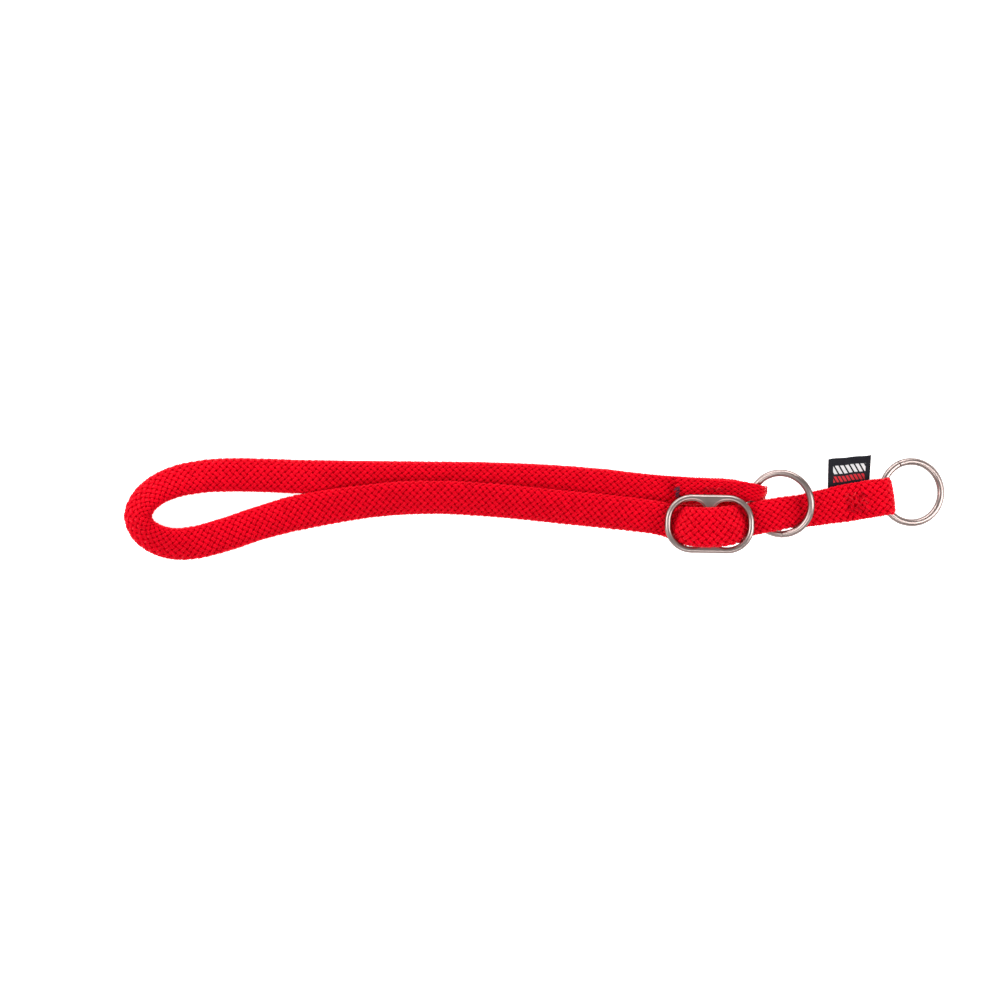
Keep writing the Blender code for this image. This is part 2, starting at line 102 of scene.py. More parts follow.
# The braid: rows of short floats, which slant one way in a row and the other way in the next
BRAID_ROWS = 22  # rows of floats round the strap
ROW_STEP = 1.86  # between two rows, round the strap
FLOAT_PITCH = 3.15  # between floats of a row, along the strap
FLOAT_SLANT = math.atan2(ROW_STEP, FLOAT_PITCH / 2)
FLOAT_LENGTH = 1.38 * math.hypot(ROW_STEP, FLOAT_PITCH / 2)
FLOAT_ENDS = 2  # parallel yarn ends in a float
YARN_WIDTH = 1.82  # of a float, across all its ends
FLOAT_RISE = 0.75  # of a float's crest over its ends
FLOAT_BELLY = 0.32  # how far a float's middle stands over its edges
FLOAT_SINK = 1.1  # brings the crests down to the strap's own skin
END_GROOVE = 0.24  # half the depth of the groove between two yarn ends
CORE_SINK = 0.78  # of the core under the skin, painted dark as the shade between the floats
NEEDLE_SLANT = 9  # how many times more the slant strays where the strap is sewn
NEEDLE_SINK = 0.45  # how deep a stitch can pull a float
STATION_STEP = 0.7  # between the strap's cross sections

# The wire rings, the slide stop's rim, the label and the thread
WIRE_SIDES = 28
SEAM_GAP = 0.16  # between the wire's two ends
RING_OUT_OF_FOLD = 1.7  # how far the leash ring is drawn out of its fold
RIM_EDGE_TURN = math.radians(86)  # of the rim's rounded side, from its middle to its face
RIM_EDGE_DEPTH = 1.38  # how far the rim narrows towards its faces
LABEL_STRAP_EDGE = 8.15  # from the strap's middle to where the label comes out
LABEL_ROOT = 4.6  # of the label, between the layers
THREAD_SIDES = 10
THREAD_STEP = 0.16  # between the sections of a thread

low, high = (Vector(c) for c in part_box("stop_slider"))
SHIFT = (low + high) / 2 - Vector(STOP_CENTRE) * MM


def place(x, y, z):
    """A point of the part's layout, in metres in the row frame."""
    return Vector((x, y, z)) * MM + SHIFT


# ---------------------------------------------------------------- materials


def shader_of(name, colour, roughness, metallic=0.0):
    made = bpy.data.materials.new(name)
    made.use_nodes = True
    nodes, links = made.node_tree.nodes, made.node_tree.links
    shader = nodes["Principled BSDF"]
    shader.inputs["Base Color"].default_value = (*colour, 1)
    shader.inputs["Roughness"].default_value = roughness
    shader.inputs["Metallic"].default_value = metallic
    return made, nodes, links, shader


def ramp(nodes, links, source, stops):
    """A colour ramp over a value: stops are (position, colour)."""
    made = nodes.new("ShaderNodeValToRGB")
    ramp_stops = made.color_ramp.elements
    while len(ramp_stops) < len(stops):
        ramp_stops.new(0.5)
    for element, (position, colour) in zip(ramp_stops, stops):
        element.position = position
        element.color = (*colour, 1)
    links.new(source, made.inputs["Fac"])
    return made.outputs["Color"]


def noise(nodes, links, vector, scale, detail, roughness):
    made = nodes.new("ShaderNodeTexNoise")
    made.inputs["Scale"].default_value = scale
    made.inputs["Detail"].default_value = detail
    made.inputs["Roughness"].default_value = roughness
    links.new(vector, made.inputs["Vector"])
    return made.outputs["Fac"]


def mapped(nodes, links, vector, scale):
    made = nodes.new("ShaderNodeMapping")
    made.inputs["Scale"].default_value = scale
    links.new(vector, made.inputs["Vector"])
    return made.outputs["Vector"]


def bump(nodes, links, shader, height, distance, strength):
    made = nodes.new("ShaderNodeBump")
    made.inputs["Strength"].default_value = strength
    made.inputs["Distance"].default_value = distance
    links.new(height, made.inputs["Height"])
    links.new(made.outputs["Normal"], shader.inputs["Normal"])


def maths(nodes, links, operation, a, b=None):
    made = nodes.new("ShaderNodeMath")
    made.operation = operation
    for socket, value in zip(made.inputs, (a, b)):
        if value is None:
            continue
        if isinstance(value, (int, float)):
            socket.default_value = value
        else:
            links.new(value, socket)
    return made.outputs["Value"]


def yarn_material(name, dark, mid, light, roughness=0.42, sheen=0.02):
    """Twisted filament yarn. The yarn attribute holds (along, across, shade) of each float: shade is
    a random dye tone, on the braid mixed with painted shade in the grooves and at the float ends.
    """
    made, nodes, links, shader = shader_of(name, mid, roughness)
    told = nodes.new("ShaderNodeAttribute")
    told.attribute_name = "yarn"
    parts = nodes.new("ShaderNodeSeparateXYZ")
    links.new(told.outputs["Vector"], parts.inputs["Vector"])
    along, across, shade = parts.outputs
    strands = mapped(nodes, links, told.outputs["Vector"], (500.0, 7000.0, 30.0))
    fibre = noise(nodes, links, strands, 1.0, 2.0, 0.6)
    twist = maths(nodes, links, "ADD", maths(nodes, links, "MULTIPLY", across, 21000.0),
                  maths(nodes, links, "MULTIPLY", along, 6000.0))
    waves = maths(nodes, links, "SINE", twist)
    # The ramp turns a low tone dark, so the painted shade carried in the shade value darkens the
    # grooves and float ends.
    tone = maths(nodes, links, "ADD", maths(nodes, links, "MULTIPLY", fibre, 0.35),
                 maths(nodes, links, "MULTIPLY", shade, 0.65))
    colour = ramp(nodes, links, tone, ((0.05, dark), (0.5, mid), (0.95, light)))
    links.new(colour, shader.inputs["Base Color"])
    shader.inputs["Sheen Weight"].default_value = sheen
    shader.inputs["Sheen Roughness"].default_value = 0.4
    shader.inputs["Sheen Tint"].default_value = (1.0, 0.12, 0.1, 1)
    shader.inputs["Specular IOR Level"].default_value = 0.3
    shader.inputs["Specular Tint"].default_value = (1.0, 0.12, 0.16, 1)
    height = maths(nodes, links, "ADD", maths(nodes, links, "MULTIPLY", fibre, 0.6),
                   maths(nodes, links, "MULTIPLY", waves, 0.2))
    bump(nodes, links, shader, height, 0.0001, 0.5)
    return made


def metal_material(name, colour, roughness):
    """Satin nickel: fine scratches and a little wear over a smooth, buffed surface, with painted
    shade darkening the colour on the sides of wire and rim.
    """
    made, nodes, links, shader = shader_of(name, colour, roughness, 1.0)
    where = nodes.new("ShaderNodeTexCoord").outputs["Object"]
    fine = noise(nodes, links, mapped(nodes, links, where, (1.0, 1.0, 5.0)), 2600.0, 4.0, 0.65)
    broad = noise(nodes, links, where, 260.0, 3.0, 0.5)
    dark = tuple(0.93 * c for c in colour)
    light = tuple(1.06 * c for c in colour)
    # Painted shade: the wear colour is scaled down where the attribute is low, on the sides of wire
    # and rim
    told = nodes.new("ShaderNodeAttribute")
    told.attribute_name = "painted_side_shade"
    wear_and_side_shade = nodes.new("ShaderNodeVectorMath")
    wear_and_side_shade.operation = "SCALE"
    links.new(ramp(nodes, links, broad, ((0.3, dark), (0.55, colour), (0.8, light))),
              wear_and_side_shade.inputs["Vector"])
    links.new(told.outputs["Fac"], wear_and_side_shade.inputs["Scale"])
    links.new(wear_and_side_shade.outputs["Vector"], shader.inputs["Base Color"])
    rough = maths(nodes, links, "ADD", maths(nodes, links, "MULTIPLY", fine, 0.08), roughness - 0.04)
    links.new(rough, shader.inputs["Roughness"])
    shader.inputs["Specular Tint"].default_value = (0.30, 0.24, 0.225, 1)
    bump(nodes, links, shader, fine, 0.00001, 0.2)
    return made


# The braid's colour ramp: its dark end mostly colours the painted shade in the grooves and at the
# float ends.
RED_DARK = (0.35, 0.0002, 0.003)
RED = (0.75, 0.0003, 0.012)
RED_LIGHT = (0.92, 0.001, 0.022)
braid_red = yarn_material("braid_red", RED_DARK, RED, RED_LIGHT)
# The core is painted dark red, without gloss, as the shade seen between the floats
core_painted_shade, _, _, core_shader = shader_of("braid_core", (0.34, 0.0003, 0.004), 0.9)
core_shader.inputs["Specular IOR Level"].default_value = 0.0
thread_red = yarn_material("thread_red", (0.22, 0.001, 0.004), (0.5, 0.002, 0.012),
                           (0.8, 0.03, 0.04))
thread_dark = yarn_material("thread_dark", (0.03, 0.008, 0.014), (0.08, 0.02, 0.034),
                            (0.15, 0.035, 0.06), 0.6, 0.05)
nickel = metal_material("satin_nickel", (0.39, 0.312, 0.292), 0.32)

# ---------------------------------------------------------------- the strap's surface


def direction(heading):
    """The level unit vector at an angle from +X."""
    a = math.radians(heading)
    return Vector((math.cos(a), math.sin(a), 0))


def outline(width, thick, wedge, count=96):
    """A flattened oval. wedge thickens its +side, or thins it if negative."""
    a = 2 * math.pi * (np.arange(count) + 0.5) / count
    c, s = np.cos(a), np.sin(a)
    across = np.sign(c) * np.abs(c) ** (2 / SECTION_POWER)
    up = np.sign(s) * np.abs(s) ** (2 / SECTION_POWER)
    return np.stack([across * width / 2, up * thick / 2 * (1 + wedge * across)], 1)


def lying_height(width, thick, wedge, roll):
    """The height of a section's middle when the section lies on the ground."""
    r = math.radians(roll)
    return -(outline(width, thick, wedge, 20) @ [math.sin(r), math.cos(r)]).min()


def stations(route):
    """Route rows (x, y, z, side, roll, width, thick, wedge) as rows with a side vector."""
    rows = []
    for i, (x, y, z, side, roll, width, thick, wedge) in enumerate(route):
        if side is None:
            before, after = route[max(i - 1, 0)], route[min(i + 1, len(route) - 1)]
            side = math.degrees(math.atan2(after[1] - before[1], after[0] - before[0])) - 90
        lies = z is None
        if lies:
            z = lying_height(width, thick, wedge, roll)
        a, r = math.radians(side), math.radians(roll)
        vector = (math.cos(a) * math.cos(r), math.sin(a) * math.cos(r), math.sin(r))
        rows.append((x, y, z, *vector, width, thick, wedge, lies))
    return np.array(rows)


def smooth_rows(rows, step):
    """Rows read from a smooth curve through the given ones, and where the given ones are in it."""
    chord = np.linalg.norm(np.diff(rows[:, :3], axis=0), axis=1)
    slope = np.gradient(rows, np.concatenate([[0], np.cumsum(chord)]), axis=0)
    out, places = [], []
    for i, length in enumerate(chord):
        places.append(len(out))
        parts = max(1, round(length / step))
        for k in range(parts):
            s = k / parts
            h = (
                (1 + 2 * s) * (1 - s) ** 2,
                s * (1 - s) ** 2 * length,
                s * s * (3 - 2 * s),
                s * s * (s - 1) * length,
            )
            out.append(h[0] * rows[i] + h[1] * slope[i] + h[2] * rows[i + 1] + h[3] * slope[i + 1])
    out = np.array([*out, rows[-1]])
    for row in out:
        if row[9] > 0.999:
            roll = math.degrees(math.asin(row[5] / np.linalg.norm(row[3:6])))
            row[2] = lying_height(*row[6:9], roll)
    return out, [*places, len(out) - 1]


def fold(axis, heading, eye, side, roll, width, thick):
    """Route rows round a ring's wire, from below it to above it."""
    rows = []
    for turn in (-90, -55, -20, 20, 55, 90):
        a = math.radians(turn)
        at = Vector(axis) + eye * math.cos(a) * direction(heading)
        rows.append((at.x, at.y, axis[2] + eye * math.sin(a), side, roll, width, thick, 0))
    return rows


def behind(axis, heading, back, z, side, width, thick, shift):
    """A route row behind a fold, shifted to the left of its heading."""
    at = Vector(axis) - back * direction(heading) + shift * direction(heading + 90)
    return (at.x, at.y, z, side, 0, width, thick, 0)


def leash_end_route():
    side = LEASH_HEADING + 90

    def layer(rows):
        """One layer of the doubled end, from (back, z, width): it strays to the right of the fold."""
        return [
            behind(LEASH_AXIS, LEASH_HEADING, back, z, side, width, LEASH_LAYER,
                   -0.035 * max(0, back - 5.5))
            for back, z, width in rows
        ]

    lower = ((29.5, LEASH_LOW, 15.0), (24, LEASH_LOW, 16.0), (18, LEASH_LOW, 17.0),
             (11, LEASH_LOW, 17.8), (5.5, 2.5, 17.6))
    upper = ((5.5, 9.8, 17.6), (9, 8.3, 17.8), (13, LEASH_HIGH, 17.8), (18, LEASH_HIGH, 17.4),
             (24, LEASH_HIGH, 16.6))
    eye = fold(LEASH_AXIS, LEASH_HEADING, LEASH_EYE, side, 0, 17.2, 3.1)
    return layer(lower) + eye + layer(upper) + [
        (128.5, 0.1, 8.4, None, 1, 16.0, 4.0, 0),
        (122.5, -0.9, 8.9, None, 3, 15.2, 4.0, 0),
        (117.0, -1.4, 10.1, None, 3, 14.8, 4.0, 0),
        (111.0, -2.4, 10.9, None, 3, 15.2, 4.0, 0),
        (106.5, -3.2, 10.7, None, 3, 15.2, 4.0, 0),
    ]


def over_bar_route():
    return [
        (103.3, -3.9, 10.1, None, 3, 15.2, 4.0, 0),
        (100.0, -4.6, 9.7, None, 0, 15.2, 4.0, 0),
        (97.3, -5.2, 9.8, None, 0, 14.8, 4.0, 0),
        (95.3, -5.9, 11.1, None, 0, 16.0, 4.0, 0),
        (93.6, -6.5, 13.3, None, 0, 17.2, 4.1, 0),
        (90.8, -7.1, 15.2, None, 0, 18.0, 4.2, 0),
        (86.3, -7.9, 16.4, None, 0, 18.3, 4.2, 0),
        (80.6, -8.3, 16.85, None, 0, 18.4, 4.2, 0),
        (75.0, -8.2, 16.4, None, 0, 18.3, 4.2, 0),
        (70.8, -7.8, 15.0, None, 0, 18.0, 4.2, 0),
        (68.2, -7.3, 12.8, None, 0, 17.3, 4.2, 0),
        (66.9, -6.9, 10.1, None, 0, 16.0, 4.1, 0),
        (65.2, -6.5, 7.7, None, 0, 15.6, 4.3, 0),
        (62.0, -5.3, 6.3, None, 6, 15.4, 4.8, -0.1),
    ]


def neck_route():
    """The near strand, the bend at the far left and the far strand."""
    return [
        (58.4, -4.3, 5.9, None, 10, 15.6, 5.1, -0.2),
        (50.0, -3.0, 5.5, None, 13, 15.8, 5.3, -0.25),
        (39.4, -1.7, None, None, 18, 16.2, 5.4, -0.3),
        (12.0, 1.1, None, None, 22.7, 16.5, 5.3, -0.33),
        (-15.0, 3.8, None, None, 24, 16.5, 5.3, -0.33),
        (-43.0, 5.4, None, None, 24, 16.5, 5.3, -0.33),
        (-61.5, 5.0, None, None, 24, 16.5, 5.3, -0.33),
        (-80.0, 3.1, None, None, 22, 16.3, 5.4, -0.33),
        (-96.0, 0.6, None, None, 15.7, 16.6, 5.9, -0.22),
        (-110.0, -2.1, None, None, 7.2, 16.4, 6.6, -0.08),
        (-125.7, -6.5, None, None, 3, *RELAXED, 0),
        (-144.0, -12.5, None, None, 5, *RELAXED, 0),
        (-156.0, -15.5, None, None, 11, 15.3, 7.0, 0),
        (-165.0, -16.0, None, None, 19, 15.1, 7.0, 0),
        (-173.0, -13.9, None, None, 26, 14.9, 7.0, 0),
        (-179.0, -9.6, None, None, 30, 14.8, 7.0, 0),
        (-181.5, -3.3, None, None, 31, 14.8, 7.0, 0),
        (-179.0, 3.2, None, None, 30, 14.8, 7.0, 0),
        (-173.0, 8.6, None, None, 26, 14.9, 7.0, 0),
        (-165.0, 12.3, None, None, 19, 15.1, 7.0, 0),
        (-153.2, 14.8, None, None, 10, 15.3, 7.0, 0),
        (-138.0, 15.7, None, None, 0, *RELAXED, 0),
        (-128.0, 15.55, None, None, 0, *RELAXED, 0),
        (-117.0, 15.2, None, None, 0, *RELAXED, 0),
        (-106.0, 14.85, None, None, 0, *RELAXED, 0),
        (-88.0, 14.9, None, None, -5, 14.8, 5.8, -0.25),
        (-61.5, 14.7, None, None, -6.6, 14.6, 5.3, -0.33),
        (-15.6, 14.1, None, None, -6.6, 14.6, 5.3, -0.33),
        (15.0, 12.7, None, None, -6.6, 14.4, 5.3, -0.33),
        (34.0, 11.05, None, None, -5, 14.4, 5.6, -0.3),
    ]


def slip_end_route():
    side = SLIP_HEADING - 90
    low_rows = [
        (46.3, 9.7, None, None, -4, 14.2, 5.4, -0.28),
        (54.0, 9.0, 2.75, None, -2, 14.0, 4.5, -0.15),
        (62.0, 8.1, SLIP_LOW, None, 0, 14.6, SLIP_LAYER, 0),
        (72.0, 7.0, SLIP_LOW, -91, 0, 15.6, SLIP_LAYER, 0),
        (84.0, 6.8, SLIP_LOW, -92, 0, 15.0, SLIP_LAYER, 0),
        (93.0, 7.2, SLIP_LOW, -96, -3, 13.0, SLIP_LAYER, 0),
    ]
    eye = fold(SLIP_AXIS, SLIP_HEADING, SLIP_EYE, side, -12, SLIP_WIDTH, 3.1)
    high_rows = [
        (95.5, 8.1, 9.3, -99, -7, 9.2, 3.4, 0),
        (90.0, 8.2, 7.6, -96, -2, 9.8, SLIP_LAYER, 0),
        (84.0, 8.3, SLIP_HIGH, -92, 0, 10.8, SLIP_LAYER, 0),
        (75.0, 8.0, SLIP_HIGH, -91, 0, 12.6, SLIP_LAYER, 0),
        (64.8, 8.6, SLIP_HIGH, -93, 0, 12.9, SLIP_LAYER, 0),
    ]
    return low_rows + eye + high_rows


class Surface:
    """The strap's skin as a grid: one row of points round the strap for each step along it.

    where holds the distance along the strap of each row. Points round a row are the same
    distance apart, so that a braid drawn on the grid keeps its width.
    """

    ROUND = 84

    def __init__(self, rows):
        middles = rows[:, :3]
        tangents = np.gradient(middles, axis=0)
        tangents /= np.linalg.norm(tangents, axis=1)[:, None]
        sides = rows[:, 3:6] - (rows[:, 3:6] * tangents).sum(1)[:, None] * tangents
        sides /= np.linalg.norm(sides, axis=1)[:, None]
        ups = np.cross(sides, tangents)
        points = []
        for middle, side, up, (width, thick, wedge) in zip(middles, sides, ups, rows[:, 6:9]):
            flat = outline(width, thick, wedge)
            loop = np.vstack([flat, flat[:1]])
            run = np.concatenate([[0], np.cumsum(np.linalg.norm(np.diff(loop, axis=0), axis=1))])
            at = np.linspace(0, run[-1], self.ROUND, endpoint=False)
            v, h = np.interp(at, run, loop[:, 0]), np.interp(at, run, loop[:, 1])
            points.append(middle + v[:, None] * side + h[:, None] * up)
        self.points = np.array(points)
        self.middles, self.tangents, self.sides, self.widths = middles, tangents, sides, rows[:, 6]
        steps = np.linalg.norm(np.diff(middles, axis=0), axis=1)
        self.where = np.concatenate([[0], np.cumsum(steps)])
        self.find_normals()

    def droop(self, start, crest, end, reach):
        """Lets the strap's edges fall ahead of its middle on both flanks of a hump.

        The +y edge falls less, because the slip end lies beside it.
        """
        s = self.where
        ease_in, ease_over = 3, 4
        off = ((self.points - self.middles[:, None]) * self.sides[:, None]).sum(2)
        off = np.clip(off / (self.widths[:, None] / 2), -1, 0.6)
        inside = np.clip((s - start) / ease_in, 0, 1) * np.clip((end - s) / ease_in, 0, 1)
        ahead = np.tanh((s - crest) / ease_over)[:, None] * reach * off ** 2 * inside[:, None]
        height = np.interp(s[:, None] + ahead, s, self.middles[:, 2])
        self.points[:, :, 2] += height - self.middles[:, None, 2]
        self.find_normals()

    def find_normals(self):
        around = np.roll(self.points, -1, 1) - np.roll(self.points, 1, 1)
        normals = np.cross(around, self.tangents[:, None])
        normals /= np.linalg.norm(normals, axis=2)[:, :, None]
        outwards = ((self.points - self.middles[:, None]) * normals).sum(2).mean()
        self.normals = normals if outwards > 0 else -normals

    def at(self, s, turn, height):
        """Points at distance s along, turn (0 to 1) round and height over the skin."""
        row = np.interp(s, self.where, np.arange(len(self.where)))
        i = np.clip(row.astype(int), 0, len(self.where) - 2)
        u = (row - i)[:, None]
        column = (turn % 1.0) * self.ROUND
        j = column.astype(int) % self.ROUND
        v = (column - column.astype(int))[:, None]
        k = (j + 1) % self.ROUND
        out = []
        for grid in (self.points, self.normals):
            out.append((1 - u) * ((1 - v) * grid[i, j] + v * grid[i, k])
                       + u * ((1 - v) * grid[i + 1, j] + v * grid[i + 1, k]))
        normal = out[1] / np.linalg.norm(out[1], axis=1)[:, None]
        return out[0] + np.asarray(height)[:, None] * normal


def whole_strap():
    """The strap's surface, and the distance along it at which each stretch starts."""
    parts = {
        "leash": leash_end_route(),
        "bar": over_bar_route(),
        "neck": neck_route(),
        "slip": slip_end_route(),
    }
    route = [row for rows in parts.values() for row in rows]
    rows, places = smooth_rows(stations(route), STATION_STEP)
    surface = Surface(rows)
    starts, first = {}, 0
    for name, stretch in parts.items():
        starts[name] = [float(surface.where[places[first + k]]) for k in range(len(stretch))]
        first += len(stretch)
    bar = starts["bar"]
    surface.droop(start=bar[2], crest=bar[7], end=bar[12], reach=3.2)
    return surface, starts


# Where a float's points lie across it and along it, from one edge (-1) to the other (1)
ACROSS = np.array([-1.0, -0.8, -0.45, -0.12, 0.12, 0.45, 0.8, 1.0])
ALONG = np.array([-1.0, -0.78, -0.4, 0.0, 0.4, 0.78, 1.0])


def braid(surface, start, end, seed, sewn):
    """Points, faces and yarn values of every float between two distances along the strap.

    Floats between the two distances of sewn are pulled about by the needle.
    """
    draw = np.random.default_rng(seed)
    girth = ROW_STEP * BRAID_ROWS
    count = math.ceil((end - start) / FLOAT_PITCH) + 2
    first = math.floor(start / FLOAT_PITCH) - 1
    rows = np.repeat(np.arange(BRAID_ROWS), count)
    numbers = np.tile(np.arange(first, first + count), BRAID_ROWS)
    middle_s = (numbers + 0.5 + 0.5 * (rows % 2)) * FLOAT_PITCH
    own = (middle_s >= start) & (middle_s < end)
    rows, numbers, middle_s = rows[own], numbers[own], middle_s[own]
    slant = np.where(rows % 2 == 0, 1.0, -1.0)
    middle_t = (rows + 0.5) / BRAID_ROWS
    a, c = np.meshgrid(ALONG, ACROSS, indexing="ij")
    a, c = a.ravel(), c.ravel()
    half_long = FLOAT_LENGTH / 2
    half_wide = YARN_WIDTH / 2
    taper = 1 - 0.10 * np.abs(a) ** 3
    crest = 1 - a ** 4
    ends = -END_GROOVE * np.cos(math.pi * FLOAT_ENDS * (c + 1))
    belly = (1 - c * c) ** 0.5
    profile = (FLOAT_RISE * crest * (0.5 + 0.5 * belly) + FLOAT_BELLY * belly
               + ends * (0.3 + 0.7 * crest))
    stray = draw.normal(0, 1, (4, len(rows)))
    pulled = (middle_s > sewn[0]) & (middle_s < sewn[1])
    turn_by = FLOAT_SLANT * slant + math.radians(2.0) * stray[0] * np.where(pulled, NEEDLE_SLANT, 1)
    sunk = np.where(pulled, NEEDLE_SINK * draw.uniform(0, 1, len(rows)) ** 2, 0)
    x = half_long * a[None, :]
    y = (half_wide * (1 + 0.03 * stray[1]))[:, None] * (c * taper)[None, :]
    along = x * np.cos(turn_by)[:, None] - y * np.sin(turn_by)[:, None]
    round_ = x * np.sin(turn_by)[:, None] + y * np.cos(turn_by)[:, None]
    s = middle_s[:, None] + along + 0.05 * stray[2][:, None]
    turn = middle_t[:, None] + round_ / girth
    height = profile[None, :] - FLOAT_SINK - sunk[:, None] + 0.04 * stray[3][:, None]
    s = np.clip(s, 0, surface.where[-1])
    verts = surface.at(s.ravel(), turn.ravel(), height.ravel())
    n_along, n_across = len(ALONG), len(ACROSS)
    cell = np.array([
        (k, k + 1, k + n_across + 1, k + n_across)
        for i in range(n_along - 1) for k in range(i * n_across, (i + 1) * n_across - 1)
    ])
    faces = (cell[None] + (np.arange(len(rows)) * n_along * n_across)[:, None, None]).reshape(-1, 4)
    # Painted shade: the tone is 1 on the crest of each yarn end and falls in the grooves between ends
    # and towards the float's ends, where it dives under its neighbours. The dyed part is a random
    # tone of each float.
    painted_groove_shade = (0.5 - 0.5 * np.cos(math.pi * FLOAT_ENDS * (c + 1))) * (0.35 + 0.65 * crest)
    dyed = np.repeat(draw.uniform(0, 1, len(rows)), len(a))
    shade = 0.75 * np.tile(painted_groove_shade, len(rows)) + 0.25 * dyed
    # Each float starts at its own place in the fibre pattern, so that no two look alike
    first_along, first_across = 0.0031 * numbers + 0.017 * rows, 0.0057 * rows
    yarn = np.stack([
        np.repeat(first_along, len(a)) + np.tile(half_long * a * MM, len(rows)),
        np.repeat(first_across, len(a)) + np.tile(half_wide * c * MM, len(rows)),
        shade,
    ], 1)
    return verts, faces, yarn


def core(surface, start, end):
    """The inside of the braid, a closed tube under its floats, coloured dark as painted shade between
    them.
    """
    inside = surface.where[(surface.where > start + 0.2) & (surface.where < end - 0.2)]
    s = np.concatenate([[start], inside[::2], [end]])
    count = surface.ROUND // 2
    turns = np.arange(count) / count
    grid_s, grid_t = np.repeat(s, count), np.tile(turns, len(s))
    verts = surface.at(grid_s, grid_t, np.full(len(grid_s), -CORE_SINK))
    faces = []
    for r in range(len(s) - 1):
        a, b = r * count, (r + 1) * count
        faces += [(a + i, a + (i + 1) % count, b + (i + 1) % count, b + i) for i in range(count)]
    last = (len(s) - 1) * count
    middles = [verts[k:k + count].mean(0) for k in (0, last)]
    start_middle, end_middle = len(verts), len(verts) + 1
    for i in range(count):
        j = (i + 1) % count
        faces += [(start_middle, j, i), (end_middle, last + i, last + j)]
    return np.vstack([verts, middles]), faces


def strap_piece(name, surface, start, end, seed, node, body, sewn):
    """A stretch of braid: its floats over its core, painted dark as shade, as one piece."""
    floats, float_faces, yarn = braid(surface, start, end, seed, sewn)
    inner, inner_faces = core(surface, start, end)
    verts = np.vstack([floats, inner])
    base = len(floats)
    faces = [tuple(f) for f in float_faces]
    faces += [tuple(base + i for i in f) for f in inner_faces]
    points = verts * MM + np.array(SHIFT)
    mesh = bpy.data.meshes.new(name)
    mesh.from_pydata(points.tolist(), [], faces)
    mesh.materials.append(braid_red)
    mesh.materials.append(core_painted_shade)
    slots = np.zeros(len(faces), int)
    slots[len(float_faces):] = 1
    mesh.polygons.foreach_set("material_index", slots)
    layer = mesh.attributes.new("yarn", "FLOAT_VECTOR", "POINT")
    values = np.zeros((len(verts), 3))
    values[:base] = yarn
    layer.data.foreach_set("vector", values.ravel())
    mesh.shade_smooth()
    made = bpy.data.objects.new(name, mesh)
    bpy.context.scene.collection.objects.link(made)
    if node:
        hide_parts(node)
    if body:
        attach(made, body)
    print(name, len(faces), "faces", round(end - start, 1), "mm")
    return made


# ---------------------------------------------------------------- camera, light and ground

# The camera looks straight down, its frame 458.7 mm wide on the strap
CAMERA_AT = (-15.22, 4.13, 1089.9)


def setting():
    """The camera above the collar, a white floor that fades into the background, and the lights."""
    camera_data = bpy.data.cameras.new("camera")
    camera_data.lens = 85
    camera = bpy.data.objects.new("camera", camera_data)
    bpy.context.scene.collection.objects.link(camera)
    bpy.context.scene.camera = camera
    camera.location = place(*CAMERA_AT)
    camera.rotation_euler = (0, 0, 0)

    bpy.ops.mesh.primitive_plane_add(size=60, location=(0, 0, -0.0004))
    floor = bpy.context.object
    floor.name = "floor"
    white, _, _, shader = shader_of("floor_white", (0.93, 0.93, 0.93), 0.9)
    shader.inputs["Emission Color"].default_value = (1, 1, 1, 1)
    shader.inputs["Emission Strength"].default_value = 0.8
    floor.data.materials.append(white)

    def area(name, location, size, power):
        """A light that shines on the middle of the collar."""
        data = bpy.data.lights.new(name, "AREA")
        data.shape = "RECTANGLE"
        data.size, data.size_y = size
        data.energy = power
        made = bpy.data.objects.new(name, data)
        made.location = location
        made.rotation_euler = (-Vector(location)).to_track_quat("-Z", "Y").to_euler()
        bpy.context.scene.collection.objects.link(made)

    area("light_top", (-0.15, 0.85, 0.34), (1.3, 0.2), 9)
    area("light_left", (-0.75, 0.1, 0.6), (0.4, 0.8), 5)
    area("light_right", (0.75, -0.1, 0.6), (0.4, 0.8), 6)
    area("light_front", (0.0, -0.7, 0.9), (0.9, 0.3), 4)
    world = bpy.data.worlds.new("world")
    bpy.context.scene.world = world
    world.use_nodes = True
    world.node_tree.nodes["Background"].inputs["Color"].default_value = (1, 1, 1, 1)
    world.node_tree.nodes["Background"].inputs["Strength"].default_value = 0.3
    bpy.context.scene.view_settings.view_transform = "Standard"


setting()

strap, starts = whole_strap()
total = strap.where[-1]
print("strap length mm", round(total, 1))

# ---------------------------------------------------------------- the strap's pieces

bar_middle = starts["bar"][7]
leash_cut = starts["leash"][14]  # end of the doubled leash end
neck_bend = starts["neck"][16]
leash_patch = (starts["leash"][11] + 1.5, starts["leash"][13] + 3.6)

LOOP = "neck_loop"
pieces = {
    "strap_leash_end": (0.0, leash_cut, "leash_end_strap", LOOP),
    "strap_run": (leash_cut, bar_middle, "strap_over_bar", None),
    "strap_near": (bar_middle, neck_bend, "neck_strap", None),
    "strap_far": (neck_bend, starts["slip"][3], "slip_end_strap", None),
    "strap_slip_end": (starts["slip"][3], total, None, "slip_end"),
}
made = {}
for seed, (name, (start, end, node, body)) in enumerate(pieces.items()):
    made[name] = strap_piece(name, strap, start, end, 100 + seed, node, body, leash_patch)

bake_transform(made["strap_run"])
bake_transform(made["strap_near"])
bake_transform(made["strap_far"])


for name, flat in (("strap_near", 0.0165), ("strap_far", 0.0155)):
    start, end = pieces[name][:2]


# ---------------------------------------------------------------- rings and slide stop


def shown_as(made, finish_slot, body, *nodes):
    """Hides the nodes a piece stands for and gives it the body it rides on. finish_slot is not used.
    """
    if nodes:
        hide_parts(*nodes)
    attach(made, body)
    return made


